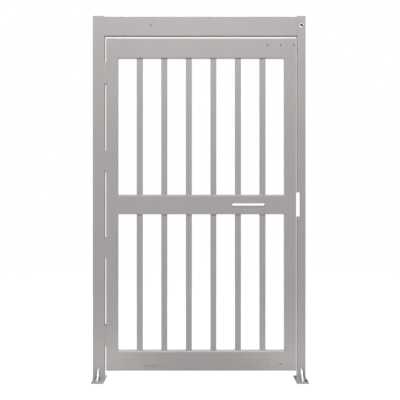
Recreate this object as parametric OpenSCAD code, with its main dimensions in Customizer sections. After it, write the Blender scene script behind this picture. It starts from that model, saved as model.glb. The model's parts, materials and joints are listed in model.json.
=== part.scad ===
// Full-height pedestrian gate: a hinge post and a strike post joined by a header,
// with one barred leaf hung on four butt hinges. Millimetres, +Z up.
// The origin is the centre of the underside of the hinge post's base plate,
// +X runs to the strike post and +Y is the side to which the leaf opens.

/* [Opening] */
// Clear width between the two posts
clear_w = 1156; // [1000:1:1400]
// Height of the top of the posts above the ground, without their caps
post_top = 2187; // [1900:1:2600]
// Height of the header between the posts
header_h = 116; // [90:1:140]

/* [Posts] */
// Width of the hinge post
hinge_post_w = 70; // [60:1:90]
// Width of the strike post
strike_post_w = 50; // [45:1:80]
// Depth of the posts and the header
frame_d = 50; // [44:1:70]
// Wall of the posts and the header
frame_wall = 3; // [2:0.5:3.5]
// Outer corner radius of the posts
post_r = 4; // [3.5:0.5:8]
// Outer corner radius of the header
header_r = 2; // [1:0.5:8]
// Thickness of the cap on each post
cap_t = 3; // [2:0.5:8]

/* [Base plates] */
// Width of both base plates
plate_w = 70; // [60:1:100]
// Reach of both base plates in front of and behind their posts
plate_reach = 91; // [70:1:140]
// Thickness of both base plates
plate_t = 8; // [6:1:16]
// Radius of an anchor hole
anchor_r = 6.5; // [5:0.5:8]
// Distance of an anchor hole from the side of its plate
anchor_side = 15; // [12:0.5:18]
// Distance of an anchor hole from the end of its plate
anchor_end = 25; // [15:1:40]
// Thickness of a gusset
gusset_t = 10; // [6:1:12]
// Height of a gusset above its plate
gusset_h = 69; // [40:1:110]
// Distance of a gusset's toe from the end of its plate
gusset_inset = 5; // [2:1:20]
// Blunt end left at the toe and at the head of a gusset
gusset_land = 5; // [3:1:12]

/* [Leaf] */
// Gap under the leaf, from the ground
leaf_clear = 62; // [50:1:90]
// Gap between the leaf and the header
top_gap = 16; // [10:1:25]
// Gap between the leaf and the strike post
strike_gap = 7; // [6:0.5:14]
// Depth of the leaf, flush with the posts at the back
leaf_d = 50; // [44:1:60]
// Wall of the stiles and the rails
leaf_wall = 3; // [2:0.5:3.5]
// Outer corner radius of the stiles
stile_r = 4; // [3.5:0.5:8]
// Outer corner radius of the rails
rail_r = 2; // [1:0.5:6]
// Height of the sloped edges along the top of the mid rail and the bottom rail
slope_h = 9.5; // [5:0.5:14]
// Width of the two stiles
stile_w = 70; // [60:1:80]
// Thickness of the plates that close the ends of the stiles
stile_cap_t = 3; // [2:0.5:5]
// Height of the top rail
top_rail_h = 117; // [90:1:140]
// Height of the mid rail
mid_rail_h = 118; // [90:1:140]
// Height of the bottom rail
bottom_rail_h = 121; // [90:1:140]
// Height of the centre of the mid rail above the ground
mid_rail_z = 1059; // [950:1:1150]
// Width and depth of a bar
bar_w = 35; // [25:1:40]
// Wall of a bar
bar_wall = 2; // [1.5:0.5:3]
// Outer corner radius of a bar
bar_r = 3.5; // [2.5:0.5:6]

/* [Hinges] */
// Height of a hinge
hinge_h = 124; // [90:1:150]
// Distance of the first and last hinge from the ends of the leaf
hinge_end = 145; // [80:1:220]
// Thickness of a hinge leaf
hinge_leaf_t = 4.5; // [3:0.5:6]
// Width of a hinge leaf on the post and on the stile
hinge_leaf_w = 46; // [36:1:50]
// Play between the two leaves of a closed hinge
hinge_play = 1; // [0.6:0.1:2]
// Radius of a hinge pin
pin_r = 4; // [3:0.5:5]
// Radial clearance of a pin in its knuckles
pin_clear = 0.05; // [0.02:0.01:0.1]
// Wall of a knuckle round its pin
knuckle_wall = 3.5; // [2.5:0.5:5]
// Gap between one knuckle and the next
knuckle_gap = 0.6; // [0.4:0.1:1]
// Height of the head at each end of a pin
pin_head_h = 4; // [2:0.5:6]

/* [Grip slot] */
// Length of the grip slot in the mid rail
slot_l = 200; // [140:1:240]
// Height of the grip slot at the front
slot_h = 23; // [16:1:30]
// Rise of the slot's floor from the front to the back
slot_rise = 9; // [4:0.5:12]
// Drop of the middle of the slot below the middle of the mid rail
slot_drop = 5; // [0:1:12]
// Distance of the middle of the slot from the strike edge of the leaf
slot_inset = 285; // [240:1:330]
// Thickness of the liner round the slot
liner_t = 2; // [1.5:0.5:4]

/* [Strike pocket] */
// Height of the pocket in the strike post
pocket_h = 145; // [100:1:180]
// Depth of the pocket in the strike post
pocket_d = 20; // [14:1:30]
// Thickness of the folded plate that lines the pocket
pocket_t = 3; // [2:0.5:4]

/* [Cable sleeves] */
// Distance of the two sleeves below the top of the posts
sleeve_drop = 56; // [40:1:80]
// Radius of the bore of a sleeve
sleeve_r = 10; // [7:0.5:12]
// Wall of a sleeve
sleeve_wall = 1.5; // [1:0.5:2.5]
// Length of a sleeve inside the strike post
sleeve_l = 8; // [5:0.5:16]
// Width of the half-round rim of a sleeve
sleeve_rim = 6.5; // [5:0.5:7]

/* [Small holes] */
// Distance of the header hole below the top of the posts
header_hole_drop = 52; // [30:1:70]
// Radius of a fixing hole
fixing_r = 4; // [3:0.5:5]
// Distance of the header hole from the hinge post
header_hole_x = 278; // [200:1:400]
// Distance of the fixing hole in the strike stile from the strike edge
stile_hole_inset = 13; // [12:0.5:20]
// Distance of the first fixing hole in the top and bottom rails from their strike end
rail_hole_inset = 21; // [12:1:40]
// Distance between the two fixing holes in the top rail, and in the bottom rail
fixing_pitch = 79; // [50:1:100]
// Distance of those holes from the top or bottom edge of the leaf
fixing_drop = 40; // [30:1:60]
// Distance of the stop holes from the hinge edge of the leaf
stop_hole_x = 239; // [180:1:320]
// Distance between the two stop holes
stop_pitch = 45; // [30:1:80]
// Height of the stop holes above the bottom edge of the leaf
stop_hole_z = 27; // [20:1:60]

/* [Hidden] */
$fn = 48;
overlap = 1;
inner_r = 0.5;

paint = [0.70, 0.69, 0.67];
leaf_paint = [0.68, 0.67, 0.65];
hinge_steel = [0.62, 0.61, 0.60];
pin_steel = [0.74, 0.74, 0.74];
sleeve_grey = [0.80, 0.80, 0.79];

// Posts and header
inner_x = hinge_post_w / 2;
strike_x = inner_x + clear_w;
strike_post_x = strike_x + strike_post_w / 2;
front_y = -frame_d / 2;
back_y = frame_d / 2;
header_z = post_top - header_h;
plate_l = frame_d + 2 * plate_reach;
anchor_x = plate_w / 2 - anchor_side;
anchor_y = plate_l / 2 - anchor_end;
gusset_l = plate_reach - gusset_inset;
header_hole_z = post_top - header_hole_drop;
sleeve_z = post_top - sleeve_drop;

// Leaf
hinge_gap = 2 * hinge_leaf_t + hinge_play;
leaf_x0 = inner_x + hinge_gap;
leaf_x1 = strike_x - strike_gap;
leaf_z0 = leaf_clear;
leaf_z1 = header_z - top_gap;
leaf_y = back_y - leaf_d / 2;
leaf_front_y = leaf_y - leaf_d / 2;
field_x0 = leaf_x0 + stile_w;
field_x1 = leaf_x1 - stile_w;
top_rail_z = leaf_z1 - top_rail_h;
mid_rail_z0 = mid_rail_z - mid_rail_h / 2;
mid_rail_z1 = mid_rail_z + mid_rail_h / 2;
bottom_rail_z1 = leaf_z0 + bottom_rail_h;
slope_d = (leaf_d - bar_w) / 2;

// Bars, with equal gaps across the field
bar_count = 6;
bar_space = (field_x1 - field_x0 - bar_count * bar_w) / (bar_count + 1);
function bar_x(i) = field_x0 + i * (bar_space + bar_w) - bar_w / 2;

// Hinges, spread evenly between the first and the last
hinge_count = 4;
knuckle_count = 5;
knuckle_r = pin_r + pin_clear + knuckle_wall;
knuckle_back = 0.5;
knuckle_step = hinge_h / knuckle_count;
hinge_x = inner_x + hinge_gap / 2;
hinge_y = back_y + knuckle_back + knuckle_r;
hinge_leaf_y0 = back_y - hinge_leaf_w;
hinge_leaf_y1 = hinge_y - knuckle_r - knuckle_gap;
pin_head_step = 1;
pin_head_r = knuckle_r - pin_head_step;
hinge_pitch = (leaf_z1 - leaf_z0 - 2 * hinge_end - hinge_h) / (hinge_count - 1);
function hinge_z(i) = leaf_z0 + hinge_end + (i - 1) * hinge_pitch;

// Grip slot and strike pocket
slot_x = leaf_x1 - slot_inset;
slot_z0 = mid_rail_z - slot_drop - slot_h / 2;
pocket_z0 = mid_rail_z - pocket_h / 2;

// Fixing holes at the strike end of the top and bottom rails
rail_hole_xs = [field_x1 - rail_hole_inset, field_x1 - rail_hole_inset - fixing_pitch];

// Rectangle with rounded corners, centred
module rounded_rect(w, d, r) {
    square([w - 2 * r, d], center = true);
    for (side = [-1, 1])
        translate([side * (w / 2 - r), 0])
            square([2 * r, d - 2 * r], center = true);
    for (side = [-1, 1], end = [-1, 1])
        translate([side * (w / 2 - r), end * (d / 2 - r)])
            circle(r);
}

// Wall of a rectangular hollow section
module hollow_rect(w, d, r, wall) {
    difference() {
        rounded_rect(w, d, r);
        rounded_rect(w - 2 * wall, d - 2 * wall, max(r - wall, inner_r));
    }
}

// Upright hollow section between two heights
module upright(w, d, r, wall, z0, z1) {
    translate([0, 0, z0])
        linear_extrude(z1 - z0)
            hollow_rect(w, d, r, wall);
}

// Section drawn in Y and Z, run along X between two ends
module level(x0, x1) {
    translate([x0, 0, 0])
        rotate([90, 0, 90])
            linear_extrude(x1 - x0)
                children();
}

// Round hole along Y that starts at y0 and runs back by length
module hole_y(x, z, r, y0, length) {
    translate([x, y0, z])
        rotate([-90, 0, 0])
            cylinder(r = r, h = length);
}

// Fixing hole through the front wall of the leaf
module leaf_fixing(x, z) {
    hole_y(x, z, fixing_r, leaf_front_y - overlap, leaf_wall + 2 * overlap);
}

module hinge_post() {
    color(paint)
        upright(hinge_post_w, frame_d, post_r, frame_wall, plate_t, post_top);
}

module strike_post() {
    color(paint)
        difference() {
            translate([strike_post_x, 0, 0])
                upright(strike_post_w, frame_d, post_r, frame_wall, plate_t, post_top);
            translate([strike_x - overlap, front_y - overlap, pocket_z0 - pocket_t])
                cube([pocket_d + pocket_t + overlap, frame_d + 2 * overlap, pocket_h + 2 * pocket_t]);
            hole_y(strike_post_x, sleeve_z, sleeve_r + sleeve_wall,
                front_y - overlap, frame_d + 2 * overlap);
        }
}

module header() {
    color(paint)
        difference() {
            translate([0, 0, header_z + header_h / 2])
                level(inner_x, strike_x)
                    hollow_rect(frame_d, header_h, header_r, frame_wall);
            hole_y(inner_x + header_hole_x, header_hole_z, fixing_r,
                front_y - overlap, frame_wall + 2 * overlap);
        }
}

module post_cap(x, w) {
    color(paint)
        translate([x, 0, post_top])
            linear_extrude(cap_t)
                rounded_rect(w, frame_d, post_r);
}

module hinge_post_cap() {
    post_cap(0, hinge_post_w);
}

module strike_post_cap() {
    post_cap(strike_post_x, strike_post_w);
}

module base_plate(x) {
    color(paint)
        difference() {
            translate([x - plate_w / 2, -plate_l / 2, 0])
                cube([plate_w, plate_l, plate_t]);
            for (side = [-1, 1], end = [-1, 1])
                translate([x + side * anchor_x, end * anchor_y, -overlap])
                    cylinder(r = anchor_r, h = plate_t + 2 * overlap);
        }
}

module hinge_base_plate() {
    base_plate(0);
}

module strike_base_plate() {
    base_plate(strike_post_x);
}

// Upright web from the face of a post down to its plate, side is -1 in front and 1 behind
module gusset(x, side) {
    color(paint)
        translate([x - side * gusset_t / 2, side * frame_d / 2, plate_t])
            rotate([90, 0, side * 90])
                linear_extrude(gusset_t)
                    polygon([
                        [0, 0],
                        [gusset_l, 0],
                        [gusset_l, gusset_land],
                        [gusset_land, gusset_h],
                        [0, gusset_h],
                    ]);
}

module hinge_front_gusset() {
    gusset(0, -1);
}

module hinge_rear_gusset() {
    gusset(0, 1);
}

module strike_front_gusset() {
    gusset(strike_post_x, -1);
}

module strike_rear_gusset() {
    gusset(strike_post_x, 1);
}

// Folded plate that closes the cut in the strike post above, below and behind the pocket
module strike_pocket() {
    pocket_top = pocket_z0 + pocket_h;
    color(paint)
        intersection() {
            translate([strike_post_x, 0, pocket_z0 - pocket_t])
                linear_extrude(pocket_h + 2 * pocket_t)
                    rounded_rect(strike_post_w, frame_d, post_r);
            union() {
                translate([strike_x + pocket_d, front_y, pocket_z0 - pocket_t])
                    cube([pocket_t, frame_d, pocket_h + 2 * pocket_t]);
                for (z = [pocket_z0 - pocket_t, pocket_top])
                    translate([strike_x, front_y, z])
                        cube([pocket_d + pocket_t, frame_d, pocket_t]);
            }
        }
}

// Two short sleeves that line the cable hole, in the front wall and the back wall of the post,
// each with a half-round rim outside
module cable_sleeve() {
    color(sleeve_grey)
        for (side = [-1, 1])
            translate([strike_post_x, side * frame_d / 2, sleeve_z])
                rotate([side * 90, 0, 0])
                    rotate_extrude() {
                        translate([sleeve_r, 0])
                            square([sleeve_wall, sleeve_l]);
                        intersection() {
                            translate([sleeve_r + sleeve_rim / 2, 0])
                                circle(sleeve_rim / 2);
                            translate([sleeve_r, -sleeve_rim])
                                square(sleeve_rim);
                        }
                    }
}

module stile(x0) {
    translate([x0 + stile_w / 2, leaf_y, 0])
        upright(stile_w, leaf_d, stile_r, leaf_wall, leaf_z0 + stile_cap_t, leaf_z1 - stile_cap_t);
}

module stile_caps(x0) {
    color(leaf_paint)
        for (z = [leaf_z0, leaf_z1 - stile_cap_t])
            translate([x0 + stile_w / 2, leaf_y, z])
                linear_extrude(stile_cap_t)
                    rounded_rect(stile_w, leaf_d, stile_r);
}

module hinge_stile() {
    color(leaf_paint)
        stile(leaf_x0);
}

module strike_stile() {
    color(leaf_paint)
        difference() {
            stile(field_x1);
            leaf_fixing(leaf_x1 - stile_hole_inset, leaf_z1 - fixing_drop);
        }
}

module hinge_stile_caps() {
    stile_caps(leaf_x0);
}

module strike_stile_caps() {
    stile_caps(field_x1);
}

// Outline of a rail with sloped top edges: its upper edge runs between -top_y and top_y,
// and its sides go up to side_z
module sloped_rect(d, h, r, top_y, side_z) {
    polygon([
        [-d / 2, r - h / 2],
        [d / 2, r - h / 2],
        [d / 2, side_z],
        [top_y, h / 2],
        [-top_y, h / 2],
        [-d / 2, side_z],
    ]);
    translate([0, r - h / 2]) {
        square([d - 2 * r, 2 * r], center = true);
        for (side = [-1, 1])
            translate([side * (d / 2 - r), 0])
                circle(r);
    }
}

// Wall of a rail with sloped top edges
module sloped_section(h) {
    slope_l = sqrt(slope_h * slope_h + slope_d * slope_d);
    top_y = leaf_d / 2 - slope_d;
    side_z = h / 2 - slope_h;
    difference() {
        sloped_rect(leaf_d, h, rail_r, top_y, side_z);
        sloped_rect(leaf_d - 2 * leaf_wall, h - 2 * leaf_wall, max(rail_r - leaf_wall, inner_r),
            top_y - leaf_wall * (slope_l - slope_d) / slope_h,
            side_z - leaf_wall * (slope_l - slope_h) / slope_d);
    }
}

// Level piece of the leaf between the two stiles, with the height of its middle
module rail(z) {
    translate([0, leaf_y, z])
        level(field_x0, field_x1)
            children();
}

module top_rail() {
    color(leaf_paint)
        difference() {
            rail(top_rail_z + top_rail_h / 2)
                hollow_rect(leaf_d, top_rail_h, rail_r, leaf_wall);
            for (x = rail_hole_xs)
                leaf_fixing(x, leaf_z1 - fixing_drop);
        }
}

// Slot with round ends along X, its floor at z0, running back along Y from y0
module slot_y(length, h, z0, y0, depth) {
    translate([slot_x, y0, z0 + h / 2])
        rotate([-90, 0, 0])
            linear_extrude(depth) {
                square([length - h, h], center = true);
                for (end = [-1, 1])
                    translate([end * (length - h) / 2, 0])
                        circle(h / 2);
            }
}

module mid_rail() {
    color(leaf_paint)
        difference() {
            rail(mid_rail_z)
                sloped_section(mid_rail_h);
            slot_y(slot_l, slot_h, slot_z0, leaf_front_y - overlap, leaf_wall + 2 * overlap);
            slot_y(slot_l, slot_h - slot_rise, slot_z0 + slot_rise,
                back_y - leaf_wall - overlap, leaf_wall + 2 * overlap);
        }
}

// Sheet lining between the walls of the mid rail, with a floor that rises to the back
module grip_liner() {
    liner_y0 = leaf_front_y + leaf_wall;
    liner_d = leaf_d - 2 * leaf_wall;
    color(leaf_paint)
        translate([slot_x - slot_l / 2 - liner_t, 0, 0])
            rotate([90, 0, 90])
                difference() {
                    linear_extrude(slot_l + 2 * liner_t)
                        polygon([
                            [liner_y0, slot_z0 - liner_t],
                            [liner_y0 + liner_d, slot_z0 + slot_rise - liner_t],
                            [liner_y0 + liner_d, slot_z0 + slot_h + liner_t],
                            [liner_y0, slot_z0 + slot_h + liner_t],
                        ]);
                    translate([0, 0, liner_t])
                        linear_extrude(slot_l)
                            polygon([
                                [liner_y0 - overlap, slot_z0 - overlap * slot_rise / liner_d],
                                [liner_y0 + liner_d + overlap,
                                    slot_z0 + slot_rise + overlap * slot_rise / liner_d],
                                [liner_y0 + liner_d + overlap, slot_z0 + slot_h],
                                [liner_y0 - overlap, slot_z0 + slot_h],
                            ]);
                }
}

module bottom_rail() {
    color(leaf_paint)
        difference() {
            rail(leaf_z0 + bottom_rail_h / 2)
                sloped_section(bottom_rail_h);
            for (x = rail_hole_xs)
                leaf_fixing(x, leaf_z0 + fixing_drop);
            for (i = [0, 1])
                leaf_fixing(leaf_x0 + stop_hole_x + i * stop_pitch, leaf_z0 + stop_hole_z);
        }
}

module bar(i, z0, z1) {
    color(leaf_paint)
        translate([bar_x(i), leaf_y, 0])
            upright(bar_w, bar_w, bar_r, bar_wall, z0, z1);
}

module upper_bar(i) {
    bar(i, mid_rail_z1, top_rail_z);
}

module lower_bar(i) {
    bar(i, bottom_rail_z1, mid_rail_z0);
}

// One leaf of a butt hinge: side is -1 on the post, where it has the odd knuckles,
// and 1 on the gate, where it has the even ones
module hinge_leaf(i, side) {
    plate_x = hinge_x + side * (hinge_play + hinge_leaf_t) / 2;
    color(hinge_steel)
        translate([0, 0, hinge_z(i)])
            difference() {
                union() {
                    translate([plate_x - hinge_leaf_t / 2, hinge_leaf_y0, 0])
                        cube([hinge_leaf_t, hinge_leaf_y1 - hinge_leaf_y0, hinge_h]);
                    for (k = [side < 0 ? 0 : 1 : 2 : knuckle_count - 1])
                        translate([0, 0, k * knuckle_step + knuckle_gap / 2]) {
                            translate([hinge_x, hinge_y, 0])
                                cylinder(r = knuckle_r, h = knuckle_step - knuckle_gap);
                            translate([plate_x - hinge_leaf_t / 2, hinge_leaf_y1 - overlap, 0])
                                cube([hinge_leaf_t, hinge_y - hinge_leaf_y1 + overlap,
                                    knuckle_step - knuckle_gap]);
                        }
                }
                translate([hinge_x, hinge_y, -overlap])
                    cylinder(r = pin_r + pin_clear, h = hinge_h + 2 * overlap);
            }
}

// Pin with a flat head above the top knuckle and below the bottom one
module hinge_pin(i) {
    shank_h = hinge_h - knuckle_gap;
    color(pin_steel)
        translate([hinge_x, hinge_y, hinge_z(i) + knuckle_gap / 2]) {
            cylinder(r = pin_r, h = shank_h);
            translate([0, 0, shank_h])
                cylinder(r = pin_head_r, h = pin_head_h);
            translate([0, 0, -pin_head_h])
                cylinder(r = pin_head_r, h = pin_head_h);
        }
}

hinge_post();
strike_post();
header();
hinge_post_cap();
strike_post_cap();
hinge_base_plate();
strike_base_plate();
hinge_front_gusset();
hinge_rear_gusset();
strike_front_gusset();
strike_rear_gusset();
strike_pocket();
cable_sleeve();
hinge_stile();
strike_stile();
hinge_stile_caps();
strike_stile_caps();
top_rail();
mid_rail();
bottom_rail();
grip_liner();
for (i = [1 : bar_count]) {
    upper_bar(i);
    lower_bar(i);
}
for (i = [1 : hinge_count]) {
    hinge_leaf(i, -1);
    hinge_leaf(i, 1);
    hinge_pin(i);
}
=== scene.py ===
"""Looks of a full-height pedestrian gate: coated steel, welds, hinge screws, floor, light and camera."""

import json
import math

import bmesh
import bpy
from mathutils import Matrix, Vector

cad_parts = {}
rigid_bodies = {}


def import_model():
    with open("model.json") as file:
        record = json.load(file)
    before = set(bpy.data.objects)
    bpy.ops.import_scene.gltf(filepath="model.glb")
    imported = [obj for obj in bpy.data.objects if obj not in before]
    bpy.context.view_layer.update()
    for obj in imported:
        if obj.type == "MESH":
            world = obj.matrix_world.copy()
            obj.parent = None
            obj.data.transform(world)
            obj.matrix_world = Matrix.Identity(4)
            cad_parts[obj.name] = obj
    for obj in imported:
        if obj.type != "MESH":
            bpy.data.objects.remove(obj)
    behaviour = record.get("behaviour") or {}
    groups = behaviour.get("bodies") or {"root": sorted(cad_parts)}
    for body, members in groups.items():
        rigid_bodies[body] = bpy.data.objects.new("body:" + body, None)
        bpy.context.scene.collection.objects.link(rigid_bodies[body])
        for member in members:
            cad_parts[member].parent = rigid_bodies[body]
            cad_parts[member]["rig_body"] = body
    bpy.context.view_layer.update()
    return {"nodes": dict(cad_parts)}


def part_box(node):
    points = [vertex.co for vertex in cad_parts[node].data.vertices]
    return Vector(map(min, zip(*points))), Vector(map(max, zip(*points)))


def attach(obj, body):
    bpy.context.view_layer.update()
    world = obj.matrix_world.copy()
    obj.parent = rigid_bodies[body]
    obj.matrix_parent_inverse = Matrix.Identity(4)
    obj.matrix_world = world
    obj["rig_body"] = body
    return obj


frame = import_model()
scene = bpy.context.scene

MM = 0.001

# Colours, in linear light
FRAME_COLOUR = (0.390, 0.376, 0.370)
LEAF_COLOUR = (0.378, 0.359, 0.354)
HINGE_COLOUR = (0.46, 0.455, 0.45)
PIN_COLOUR = (0.62, 0.615, 0.61)
SLEEVE_COLOUR = (0.56, 0.55, 0.54)
WHITE = (1.0, 1.0, 1.0)

# Noise in the materials, each with its scale and detail, and the part of its range that is used
COAT_CLOUDS = (5.0, 4.0)
COAT_SHEEN = (38.0, 3.0)
COAT_PEEL = (420.0, 2.0)
PLASTIC_PATCHES = (60.0, 3.0)
PLASTIC_GRAIN = (900.0, 2.0)
STEEL_LINES = (300.0, 4.0)
STEEL_PATCHES = (22.0, 3.0)
NOISE_ROUGHNESS = 0.55
NOISE_LOW = 0.3
NOISE_HIGH = 0.7

# Stretch of the brush lines, low along the lines
LINES_UPRIGHT = (1.0, 1.0, 0.06)
LINES_ROUND = (0.15, 0.15, 1.0)

# Darkest and lightest tones, as shares of a material's colour
COAT_TONES = (0.975, 1.025)
PLASTIC_TONES = (0.96, 1.04)
STEEL_TONES = (0.86, 1.12)

# Roughness, as a range or as steps from the material's own
COAT_UNEVEN = 0.04
COAT_SKIN_ROUGHNESS = 0.12
PLASTIC_SMOOTHEST = 0.48
PLASTIC_ROUGHEST = 0.60
STEEL_SMOOTHER = 0.05
STEEL_ROUGHER = 0.07
STEEL_METALLIC = 0.85

# Heights of the fine bumps
COAT_BUMP = 0.03 * MM
PLASTIC_BUMP = 0.04 * MM
STEEL_BUMP = 0.03 * MM

# Painted shade beside the post at two ends of the strike post's base plate, a dark patch standing in for the
# post's shadow
PAINTED_SHADE_HALF_W = 9.5 * MM
PAINTED_SHADE_HALF_L = 58 * MM
PAINTED_SHADE_END = 8 * MM
PAINTED_SHADE_CORE = 0.65
PAINTED_SHADE_TONE = 0.3

# Numbers of the gate's bars in a row and of its hinges
BARS = 6
HINGES = 4

# Corner radii and sloped edges of the tubes that the welds fill
POST_R = 4 * MM
HEADER_R = 2 * MM
STILE_R = 4 * MM
RAIL_R = 2 * MM
SLOPE_H = 9.5 * MM
GROOVE_STEPS = 8
GROOVE_END = 0.4

# Weld beads: sizes, the shares of the radius in their ripples and at their tips, and insets from corners
HEADER_BEAD_R = 2.2 * MM
BAR_BEAD_R = HEADER_BEAD_R * 0.8
FOOT_BEAD_R = 3.5 * MM
GUSSET_BEAD_R = FOOT_BEAD_R * 0.8
BEAD_SIDES = 8
BEAD_STEP = 1.6 * MM
BEAD_FEWEST_STEPS = 6
BEAD_RIPPLE = 5.0 * MM
BEAD_TROUGH = 0.86
BEAD_SWELL = 0.14
BEAD_TIP = 0.35
BEAD_TAPER = 1.3
BAR_INSET = 3.5 * MM
POST_INSET = 4.0 * MM

# Hinge screws: sizes, shares of the head's height and radius, and places on a hinge leaf
SCREW_R = 4.6 * MM
SCREW_SIDES = 24
SCREW_PROUD = 0.30 * MM
SCREW_SUNK = 0.20 * MM
SCREW_EDGE_HEIGHT = 0.7
SCREW_EDGE_R = 0.97
SCREW_TOP_R = 0.88
SCREW_KEY_R = 2.4 * MM
SCREW_KEY_DEPTH = 0.9
SCREW_ROWS = (0.12, 0.37, 0.63, 0.88)
SCREW_ROW_YS = (30 * MM, 13 * MM)
HINGE_HALF_GAP = 0.5 * MM

# Camera, floor and light
CAMERA_PLACE = (0.6078, -5.525, 1.0859)
CAMERA_LENS = 82.53
CAMERA_SENSOR = 36
FLOOR_HALF = 40.0
FLOOR_CELLS = 8
FLOOR_GLOW = 0.975
FLOOR_SEEN = 0.08
FLOOR_BOUNCE = 0.56
AMBIENT = 0.27
FOOT_FILL_OFF = 0.10


# Materials

def new_material(name):
    mat = bpy.data.materials.new(name)
    mat.use_nodes = True
    mat.node_tree.nodes.clear()
    return mat, mat.node_tree


def add(tree, kind, **inputs):
    """A node of that kind with its sockets set; a socket's name has _ for a space."""
    node = tree.nodes.new(kind)
    for key, value in inputs.items():
        node.inputs[key.replace("_", " ")].default_value = value
    return node


def shade(colour, factor):
    return tuple(c * factor for c in colour) + (1.0,)


def point_on_part(tree):
    """The point of the surface, in the part's own frame."""
    return tree.nodes.new("ShaderNodeTexCoord").outputs["Object"]


def noise_at(tree, point, scale, detail, stretch=(1, 1, 1)):
    """Noise at a point; stretch is the scale along X, Y and Z."""
    mapping = add(tree, "ShaderNodeMapping", Scale=stretch)
    tree.links.new(point, mapping.inputs["Vector"])
    noise = add(tree, "ShaderNodeTexNoise", Scale=scale, Detail=detail, Roughness=NOISE_ROUGHNESS)
    tree.links.new(mapping.outputs["Vector"], noise.inputs["Vector"])
    return noise.outputs["Fac"]


def spread(tree, noise, low, high):
    """The middle of a noise's range taken to low..high."""
    ranged = add(tree, "ShaderNodeMapRange", From_Min=NOISE_LOW, From_Max=NOISE_HIGH, To_Min=low, To_Max=high)
    tree.links.new(noise, ranged.inputs["Value"])
    return ranged.outputs["Result"]


def greater(tree, first, second):
    most = tree.nodes.new("ShaderNodeMath")
    most.operation = "MAXIMUM"
    tree.links.new(first, most.inputs[0])
    tree.links.new(second, most.inputs[1])
    return most.outputs["Value"]


def colour_mix(tree, factor):
    """A mix of two colours by a factor: its two colour inputs and its output."""
    mix = tree.nodes.new("ShaderNodeMix")
    mix.data_type = "RGBA"
    tree.links.new(factor, mix.inputs["Factor"])
    first, second = [s for s in mix.inputs if s.type == "RGBA"]
    return first, second, next(s for s in mix.outputs if s.type == "RGBA")


def mottle(tree, noise, colour, tones):
    """A colour that goes from its darkest to its lightest tone by a noise."""
    dark, light, result = colour_mix(tree, spread(tree, noise, 0.0, 1.0))
    dark.default_value = shade(colour, tones[0])
    light.default_value = shade(colour, tones[1])
    return result


def surface(mat, colour, roughness, relief, bump_height, **inputs):
    tree = mat.node_tree
    bump = add(tree, "ShaderNodeBump", Strength=1.0, Distance=bump_height)
    tree.links.new(relief, bump.inputs["Height"])
    shader = add(tree, "ShaderNodeBsdfPrincipled", **inputs)
    tree.links.new(colour, shader.inputs["Base Color"])
    tree.links.new(roughness, shader.inputs["Roughness"])
    tree.links.new(bump.outputs["Normal"], shader.inputs["Normal"])
    out = tree.nodes.new("ShaderNodeOutputMaterial")
    tree.links.new(shader.outputs["BSDF"], out.inputs["Surface"])
    return mat


def painted_shade_at(tree, point, centre):
    """1 in the core of a long patch of painted shade on a plate, fading to 0 round it."""
    steps = (
        ("SUBTRACT", centre),
        ("MULTIPLY", (1 / PAINTED_SHADE_HALF_W, 1 / PAINTED_SHADE_HALF_L, 0)),
        ("LENGTH", (0, 0, 0)),
    )
    result = point
    for operation, value in steps:
        node = tree.nodes.new("ShaderNodeVectorMath")
        node.operation = operation
        tree.links.new(result, node.inputs[0])
        node.inputs[1].default_value = value
        result = node.outputs["Value" if operation == "LENGTH" else "Vector"]
    fade = add(tree, "ShaderNodeMapRange", From_Min=PAINTED_SHADE_CORE, From_Max=1.0, To_Min=1.0, To_Max=0.0)
    tree.links.new(result, fade.inputs["Value"])
    return fade.outputs["Result"]


def painted_shade_by_post(tree, point, plate):
    """Painted shade beside the post on a plate, at its front end on one side and its rear end on the other.
    """
    low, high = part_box(plate)
    middle = (low + high) / 2
    half_w = (high.x - low.x) / 2
    half_l = (high.y - low.y) / 2
    reach = Vector((half_w - PAINTED_SHADE_HALF_W, PAINTED_SHADE_END + PAINTED_SHADE_HALF_L - half_l, 0))
    return greater(tree, painted_shade_at(tree, point, middle + reach), painted_shade_at(tree, point, middle - reach))


def powder_coat(name, colour, roughness, shine, skin, painted_shade_plate=None):
    """Powder coat: faint cloudy tone, orange peel, an uneven sheen and a thin clear skin; on a given plate,
    painted shade beside the post.
    """
    mat, tree = new_material(name)
    point = point_on_part(tree)
    clouds = noise_at(tree, point, *COAT_CLOUDS)
    sheen = noise_at(tree, point, *COAT_SHEEN)
    peel = noise_at(tree, point, *COAT_PEEL)
    tone = mottle(tree, clouds, colour, COAT_TONES)
    # Painted shade: the colour is darkened beside the post, where the post's shadow falls on the plate
    if painted_shade_plate:
        unshaded, painted_shade_colour, result = colour_mix(tree, painted_shade_by_post(tree, point, painted_shade_plate))
        tree.links.new(tone, unshaded)
        painted_shade_colour.default_value = shade(colour, PAINTED_SHADE_TONE)
        tone = result
    gloss = spread(tree, sheen, roughness - COAT_UNEVEN, roughness + COAT_UNEVEN)
    return surface(mat, tone, gloss, peel, COAT_BUMP, Specular_IOR_Level=shine,
                   Coat_Weight=skin, Coat_Roughness=COAT_SKIN_ROUGHNESS)


def moulded_plastic(name, colour):
    """Matt moulded plastic with a fine grain."""
    mat, tree = new_material(name)
    point = point_on_part(tree)
    patches = noise_at(tree, point, *PLASTIC_PATCHES)
    grain = noise_at(tree, point, *PLASTIC_GRAIN)
    tone = mottle(tree, patches, colour, PLASTIC_TONES)
    gloss = spread(tree, patches, PLASTIC_SMOOTHEST, PLASTIC_ROUGHEST)
    return surface(mat, tone, gloss, grain, PLASTIC_BUMP)


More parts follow.
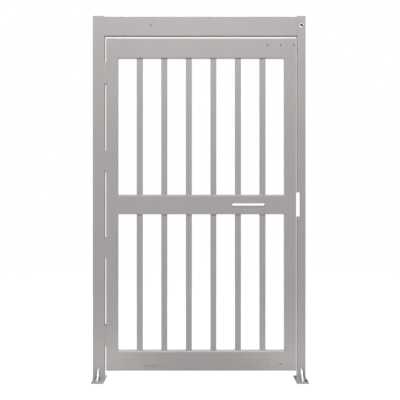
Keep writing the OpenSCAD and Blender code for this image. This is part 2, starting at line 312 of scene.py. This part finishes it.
def brushed_steel(name, colour, stretch, roughness):
    """Bare steel with fine brush lines."""
    mat, tree = new_material(name)
    point = point_on_part(tree)
    lines = noise_at(tree, point, *STEEL_LINES, stretch)
    patches = noise_at(tree, point, *STEEL_PATCHES)
    tone = mottle(tree, lines, colour, STEEL_TONES)
    gloss = spread(tree, patches, roughness - STEEL_SMOOTHER, roughness + STEEL_ROUGHER)
    return surface(mat, tone, gloss, lines, STEEL_BUMP, Metallic=STEEL_METALLIC)


coats = {
    "frame_coat": powder_coat("frame_coat_satin", FRAME_COLOUR, roughness=0.46, shine=0.4, skin=0.05),
    "leaf_coat": powder_coat("leaf_coat_satin", LEAF_COLOUR, roughness=0.45, shine=0.5, skin=0.25),
    "hinge_steel": brushed_steel("hinge_steel_brushed", HINGE_COLOUR, LINES_UPRIGHT, roughness=0.42),
    "sleeve_plastic": moulded_plastic("sleeve_plastic_matt", SLEEVE_COLOUR),
    "pin_steel": brushed_steel("pin_steel_turned", PIN_COLOUR, LINES_ROUND, roughness=0.34),
}
# The gussets' cut plates have a glossier coat, and the plates on the ground are scuffed dull
gusset_coat = powder_coat("frame_coat_gloss", FRAME_COLOUR, roughness=0.45, shine=0.5, skin=0.22)
plate_coat = powder_coat("frame_coat_dull", FRAME_COLOUR, roughness=0.66, shine=0.0, skin=0.0)
# The strike post's plate: the dull coat with painted shade beside the post
painted_shade_coat = powder_coat("frame_coat_painted_shade", FRAME_COLOUR, roughness=0.66, shine=0.0, skin=0.0,
                           painted_shade_plate="strike_base_plate")


def slot_of(node):
    if node.endswith("_pin"):
        return "pin_steel"
    if node.endswith("_leaf"):
        return "hinge_steel"
    if node == "cable_sleeve":
        return "sleeve_plastic"
    return "leaf_coat" if frame["nodes"][node]["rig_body"] == "gate_leaf" else "frame_coat"


def coat_of(node):
    if node == "strike_base_plate":
        return painted_shade_coat
    if node.endswith("_base_plate"):
        return plate_coat
    if node.endswith("_gusset"):
        return gusset_coat
    return coats[slot_of(node)]


def dress(obj, mat):
    obj.data.materials.clear()
    obj.data.materials.append(mat)


for node, obj in frame["nodes"].items():
    dress(obj, coat_of(node))


# Added pieces

def mesh_object(name, bm):
    mesh = bpy.data.meshes.new(name)
    bm.to_mesh(mesh)
    bm.free()
    obj = bpy.data.objects.new(name, mesh)
    scene.collection.objects.link(obj)
    return obj


def piece(name, bm, body, slot):
    bmesh.ops.recalc_face_normals(bm, faces=bm.faces)
    obj = mesh_object(name, bm)
    dress(obj, coats[slot])
    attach(obj, body)


def ring_at(bm, centre, side, up, r, count, outline=None):
    """Vertices in even turns round a centre, at radius r, or at r times what outline gives for a turn."""
    ring = []
    for k in range(count):
        turn = 2 * math.pi * k / count
        reach = r * outline(turn) if outline else r
        point = centre + side * (reach * math.cos(turn)) + up * (reach * math.sin(turn))
        ring.append(bm.verts.new(point))
    return ring


def loft(bm, rings, smooth):
    """Faces from each ring to the next, and a cap on the first and on the last."""
    for a, b in zip(rings, rings[1:]):
        for k in range(len(a)):
            face = bm.faces.new((a[k - 1], a[k], b[k], b[k - 1]))
            face.smooth = smooth
    bm.faces.new(rings[0])
    bm.faces.new(list(reversed(rings[-1])))


def bead(bm, start, end, r):
    """Rippled weld bead from start to end, half sunk in the corner that it fills."""
    start = Vector(start)
    end = Vector(end)
    length = (end - start).length
    along = (end - start).normalized()
    side = along.orthogonal().normalized()
    up = along.cross(side)
    count = max(BEAD_FEWEST_STEPS, round(length / BEAD_STEP))
    rings = []
    for k in range(count + 1):
        s = length * k / count
        ripple = BEAD_TROUGH + BEAD_SWELL * abs(math.sin(math.pi * s / BEAD_RIPPLE))
        taper = min(1.0, BEAD_TIP + BEAD_TAPER * min(k, count - k) * BEAD_STEP / (2 * r))
        rings.append(ring_at(bm, start + along * s, side, up, r * taper * ripple, BEAD_SIDES))
    loft(bm, rings, smooth=True)


def bead_loop(bm, low, high, z, r, inset):
    """Four beads round a square section at height z, each short of the corners by inset."""
    for y in (low.y, high.y):
        bead(bm, (low.x + inset, y, z), (high.x - inset, y, z), r)
    for x in (low.x, high.x):
        bead(bm, (x, low.y + inset, z), (x, high.y - inset, z), r)


def groove_fill(bm, corner_x, toward, front_y, inward, z0, z1, r):
    """Ground-flush weld in the groove beside a tube's rounded corner of radius r.

    toward is the side of corner_x on which the rounded tube lies, inward the way into the tube.
    """
    outline = [Vector((corner_x, front_y, 0))]
    for k in range(GROOVE_STEPS + 1):
        turn = math.pi / 2 * k / GROOVE_STEPS
        x = corner_x + toward * r * (1 - math.sin(turn))
        y = front_y + inward * r * (1 - math.cos(turn))
        outline.append(Vector((x, y, 0)))
    rings = [[bm.verts.new(p + Vector((0, 0, z))) for p in outline] for z in (z0, z1)]
    loft(bm, rings, smooth=False)


def hexagon(turn):
    """Distance to the side of a hexagon whose corners are at 1, in the direction turn."""
    part = turn % (math.pi / 3) - math.pi / 6
    return math.cos(math.pi / 6) / math.cos(part)


def screw(bm, centre, facing):
    """Flat socket screw head on a face, facing along X by its sign."""
    centre = Vector(centre)
    out = Vector((facing, 0, 0))
    side = Vector((0, 1, 0))
    up = Vector((0, 0, 1))
    edge = centre + out * SCREW_PROUD * SCREW_EDGE_HEIGHT
    top = centre + out * SCREW_PROUD
    rings = [
        ring_at(bm, centre - out * SCREW_SUNK, side, up, SCREW_R, SCREW_SIDES),
        ring_at(bm, edge, side, up, SCREW_R * SCREW_EDGE_R, SCREW_SIDES),
        ring_at(bm, top, side, up, SCREW_R * SCREW_TOP_R, SCREW_SIDES),
        ring_at(bm, top, side, up, SCREW_KEY_R, SCREW_SIDES, hexagon),
    ]
    rings.append([bm.verts.new(v.co - out * SCREW_PROUD * SCREW_KEY_DEPTH) for v in rings[-1]])
    loft(bm, rings, smooth=False)


def add_bar_welds():
    for row in ("upper", "lower"):
        bm = bmesh.new()
        for i in range(1, BARS + 1):
            low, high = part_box(f"{row}_bar_{i}")
            for z in (low.z, high.z):
                bead_loop(bm, low, high, z, BAR_BEAD_R, BAR_INSET)
        piece(f"{row}_bar_welds", bm, "gate_leaf", "leaf_coat")


def add_rail_welds():
    bm = bmesh.new()
    end = GROOVE_END * RAIL_R
    for name, top in (("top_rail", end), ("mid_rail", SLOPE_H), ("bottom_rail", SLOPE_H)):
        low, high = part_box(name)
        for x, toward in ((low.x, -1), (high.x, 1)):
            for y, inward in ((low.y, 1), (high.y, -1)):
                groove_fill(bm, x, toward, y, inward, low.z + end, high.z - top, STILE_R)
    piece("rail_welds", bm, "gate_leaf", "leaf_coat")


def add_header_welds():
    bm = bmesh.new()
    low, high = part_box("header")
    end = GROOVE_END * HEADER_R
    for y, inward in ((low.y, 1), (high.y, -1)):
        groove_fill(bm, low.x, -1, y, inward, low.z + end, high.z - end, POST_R)
    for x in (low.x, high.x):
        bead(bm, (x, low.y + POST_R, low.z), (x, high.y - POST_R, low.z), HEADER_BEAD_R)
    piece("header_welds", bm, "frame", "frame_coat")


def add_foot_welds(side):
    bm = bmesh.new()
    low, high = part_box(f"{side}_post")
    plate_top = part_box(f"{side}_base_plate")[1].z
    bead_loop(bm, low, high, plate_top, FOOT_BEAD_R, POST_INSET)
    for end in ("front", "rear"):
        web_low, web_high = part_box(f"{side}_{end}_gusset")
        post_y, toe_y = (low.y, web_low.y) if end == "front" else (high.y, web_high.y)
        for x in (web_low.x, web_high.x):
            bead(bm, (x, post_y, plate_top), (x, post_y, web_high.z), GUSSET_BEAD_R)
            bead(bm, (x, post_y, plate_top), (x, toe_y, plate_top), GUSSET_BEAD_R)
    piece(f"{side}_foot_welds", bm, "frame", "frame_coat")


def add_hinge_screws():
    for name, body, facing in (("post", "frame", 1), ("gate", "gate_leaf", -1)):
        bm = bmesh.new()
        for i in range(1, HINGES + 1):
            low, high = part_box(f"hinge_{i}_{name}_leaf")
            pin_low, pin_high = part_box(f"hinge_{i}_pin")
            face_x = (pin_low.x + pin_high.x) / 2 - facing * HINGE_HALF_GAP
            for row, share in enumerate(SCREW_ROWS):
                y = low.y + SCREW_ROW_YS[row % 2]
                screw(bm, (face_x, y, low.z + share * (high.z - low.z)), facing)
        piece(f"hinge_{name}_screws", bm, body, "hinge_steel")


add_bar_welds()
add_rail_welds()
add_header_welds()
for side in ("hinge", "strike"):
    add_foot_welds(side)
add_hinge_screws()


# Floor, world, lights and camera

def seen_ray(tree):
    """1 for a ray that shows the background as white, and 0 for one that only carries its light."""
    path = tree.nodes.new("ShaderNodeLightPath")
    seen = greater(tree, path.outputs["Is Camera Ray"], path.outputs["Is Glossy Ray"])
    return greater(tree, seen, path.outputs["Is Transmission Ray"])


def split_by_ray(tree, carried, seen, output):
    """The seen shader for a ray that shows the background, and the carried one for the others."""
    mix = tree.nodes.new("ShaderNodeMixShader")
    out = tree.nodes.new(output)
    tree.links.new(seen_ray(tree), mix.inputs["Fac"])
    tree.links.new(carried, mix.inputs[1])
    tree.links.new(seen, mix.inputs[2])
    tree.links.new(mix.outputs["Shader"], out.inputs["Surface"])


def make_floor():
    bm = bmesh.new()
    bmesh.ops.create_grid(bm, x_segments=FLOOR_CELLS, y_segments=FLOOR_CELLS, size=FLOOR_HALF)
    floor = mesh_object("floor", bm)
    mat, tree = new_material("floor_white")
    bounce = add(tree, "ShaderNodeBsdfDiffuse", Color=shade(WHITE, FLOOR_BOUNCE))
    shadowed = add(tree, "ShaderNodeBsdfDiffuse", Color=shade(WHITE, FLOOR_SEEN))
    glow = add(tree, "ShaderNodeEmission", Color=shade(WHITE, 1.0), Strength=FLOOR_GLOW)
    seen = tree.nodes.new("ShaderNodeAddShader")
    tree.links.new(shadowed.outputs["BSDF"], seen.inputs[0])
    tree.links.new(glow.outputs["Emission"], seen.inputs[1])
    split_by_ray(tree, bounce.outputs["BSDF"], seen.outputs["Shader"], "ShaderNodeOutputMaterial")
    dress(floor, mat)


def make_world():
    world = bpy.data.worlds.new("studio")
    world.use_nodes = True
    scene.world = world
    tree = world.node_tree
    tree.nodes.clear()
    seen = add(tree, "ShaderNodeBackground", Color=shade(WHITE, 1.0), Strength=1.0)
    ambient = add(tree, "ShaderNodeBackground", Color=shade(WHITE, 1.0), Strength=AMBIENT)
    split_by_ray(tree, ambient.outputs["Background"], seen.outputs["Background"], "ShaderNodeOutputWorld")


def area_light(name, place, target, width, height, watts, mirrored=True):
    """Soft lamp that the camera doesn't see, nor the object's shine where it isn't mirrored."""
    data = bpy.data.lights.new(name, "AREA")
    data.shape = "RECTANGLE"
    data.size = width
    data.size_y = height
    data.energy = watts
    lamp = bpy.data.objects.new(name, data)
    lamp.location = place
    lamp.rotation_euler = (Vector(target) - Vector(place)).to_track_quat("-Z", "Y").to_euler()
    scene.collection.objects.link(lamp)
    lamp.visible_camera = False
    lamp.visible_glossy = mirrored


def make_lamps():
    area_light("high_front", place=(0.60, -2.15, 4.15), target=(0.6, 0, 1.9),
               width=3.0, height=1.2, watts=101)
    area_light("overhead", place=(0.608, 0.14, 4.4), target=(0.608, 0.05, 0),
               width=2.8, height=0.15, watts=145)
    area_light("front_fill", place=(-0.6, -5.4, 1.2), target=(0.5, 0, 0.7),
               width=3.0, height=1.0, watts=36, mirrored=False)
    area_light("back_fill", place=(0.608, 4.8, 2.2), target=(0.608, 0, 1.0),
               width=3.0, height=1.5, watts=90, mirrored=False)
    for side, inner in (("hinge", FOOT_FILL_OFF), ("strike", -FOOT_FILL_OFF)):
        low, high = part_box(f"{side}_base_plate")
        x = (low.x + high.x) / 2
        area_light(f"{side}_foot_fill", place=(x + inner, -0.34, 0.10), target=(x, -0.02, 0.05),
                   width=0.14, height=0.05, watts=0.22, mirrored=False)


def make_camera():
    data = bpy.data.cameras.new("camera")
    data.sensor_width = CAMERA_SENSOR
    data.lens = CAMERA_LENS
    camera = bpy.data.objects.new("camera", data)
    camera.location = CAMERA_PLACE
    camera.rotation_euler = (math.pi / 2, 0, 0)
    scene.collection.objects.link(camera)
    scene.camera = camera


make_floor()
make_world()
make_lamps()
make_camera()
scene.view_settings.view_transform = "Standard"
